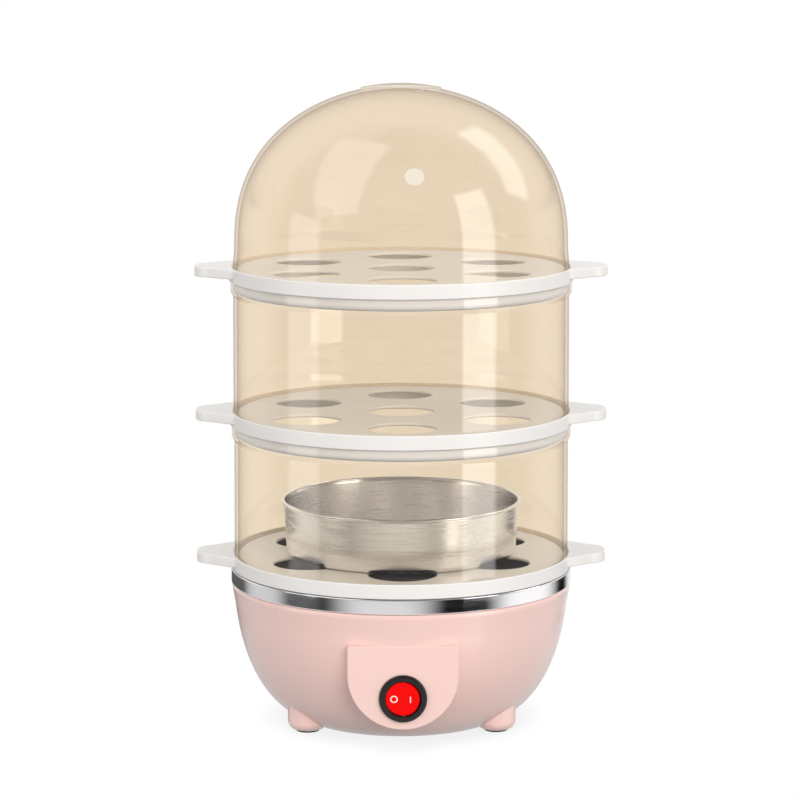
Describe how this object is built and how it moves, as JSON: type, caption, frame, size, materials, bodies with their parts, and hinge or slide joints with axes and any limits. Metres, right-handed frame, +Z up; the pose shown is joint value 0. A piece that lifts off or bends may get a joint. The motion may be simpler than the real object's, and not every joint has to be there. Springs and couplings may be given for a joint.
{
  "type": "egg cooker",
  "caption": "Electric egg cooker: pink bowl-shaped heater base with rocker switch, white perforated egg trays, clear amber cover rings and a domed lid, with a steel steaming bowl.",
  "frame": {"origin": "on the surface that the foot pads stand on, under the middle of the round base", "axes": "+Z up through the middle of the stack; the switch faces -Y; the tray handles point along +X and -X"},
  "size_m": [0.212, 0.1806, 0.3295],
  "materials": {
    "base_plastic": "gloss",
    "tray_plastic": "satin gloss",
    "cover_clear": "clear gloss",
    "pan_steel": "polished",
    "bowl_steel": "fine satin",
    "gasket_silicone": "matt",
    "heater_aluminium": "as cast",
    "heater_steel": "heat tinted",
    "screw_steel": "zinc plated",
    "terminal_brass": "tinned",
    "part_ceramic": "unglazed",
    "switch_black": "satin",
    "rocker_red": "gloss",
    "pad_rubber": "matt",
    "gland_rubber": "matt",
    "wire_sleeving": "braided glass fibre"
  },
  "bodies": {
    "base": {"base_shell": "base_plastic", "service_cover": "base_plastic", "cover_screw_1": "screw_steel", "cover_screw_2": "screw_steel", "cover_screw_3": "screw_steel", "foot_pad_1": "pad_rubber", "foot_pad_2": "pad_rubber", "foot_pad_3": "pad_rubber", "pan_standoff_1": "screw_steel", "pan_standoff_2": "screw_steel", "pan_standoff_3": "screw_steel", "pan_screw_1": "screw_steel", "pan_screw_2": "screw_steel", "pan_screw_3": "screw_steel", "water_pan": "pan_steel", "pan_gasket": "gasket_silicone", "heater_plate": "heater_aluminium", "heating_tube": "heater_steel", "clamp_stud": "screw_steel", "heater_clamp": "screw_steel", "clamp_nut": "screw_steel", "thermostat": "part_ceramic", "thermal_fuse": "part_ceramic", "fuse_clip": "screw_steel", "switch_housing": "switch_black", "rocker_axle": "screw_steel", "switch_terminal_1": "terminal_brass", "switch_terminal_2": "terminal_brass", "terminal_block": "part_ceramic", "cord_gland": "gland_rubber", "wire_live": "wire_sleeving", "wire_switched": "wire_sleeving", "wire_fuse_to_thermostat": "wire_sleeving", "wire_thermostat_to_heater": "wire_sleeving", "wire_neutral": "wire_sleeving"},
    "rocker": {"switch_rocker": "rocker_red"},
    "tray_lower": {"tray_lower": "tray_plastic"},
    "steaming_bowl": {"steaming_bowl": "bowl_steel"},
    "cover_ring_lower": {"cover_ring_lower": "cover_clear"},
    "tray_middle": {"tray_middle": "tray_plastic"},
    "cover_ring_upper": {"cover_ring_upper": "cover_clear"},
    "tray_upper": {"tray_upper": "tray_plastic"},
    "lid": {"lid": "cover_clear"}
  },
  "joints": [
    {"name": "rocker_tilt", "type": "hinge", "parent": "base", "child": "rocker", "pos_m": [0, -0.0857, 0.0298], "axis": [0, 0, 1], "range_deg": [0, 16]},
    {"name": "tray_lower_lift", "type": "slide", "parent": "base", "child": "tray_lower", "axis": [0, 0, 1], "range_m": [0, 0.05]},
    {"name": "steaming_bowl_lift", "type": "slide", "parent": "tray_lower", "child": "steaming_bowl", "axis": [0, 0, 1], "range_m": [0, 0.04]},
    {"name": "cover_ring_lower_lift", "type": "slide", "parent": "tray_lower", "child": "cover_ring_lower", "axis": [0, 0, 1], "range_m": [0, 0.08]},
    {"name": "tray_middle_lift", "type": "slide", "parent": "cover_ring_lower", "child": "tray_middle", "axis": [0, 0, 1], "range_m": [0, 0.05]},
    {"name": "cover_ring_upper_lift", "type": "slide", "parent": "tray_middle", "child": "cover_ring_upper", "axis": [0, 0, 1], "range_m": [0, 0.08]},
    {"name": "tray_upper_lift", "type": "slide", "parent": "cover_ring_upper", "child": "tray_upper", "axis": [0, 0, 1], "range_m": [0, 0.05]},
    {"name": "lid_lift", "type": "slide", "parent": "tray_upper", "child": "lid", "axis": [0, 0, 1], "range_m": [0, 0.1]}
  ]
}
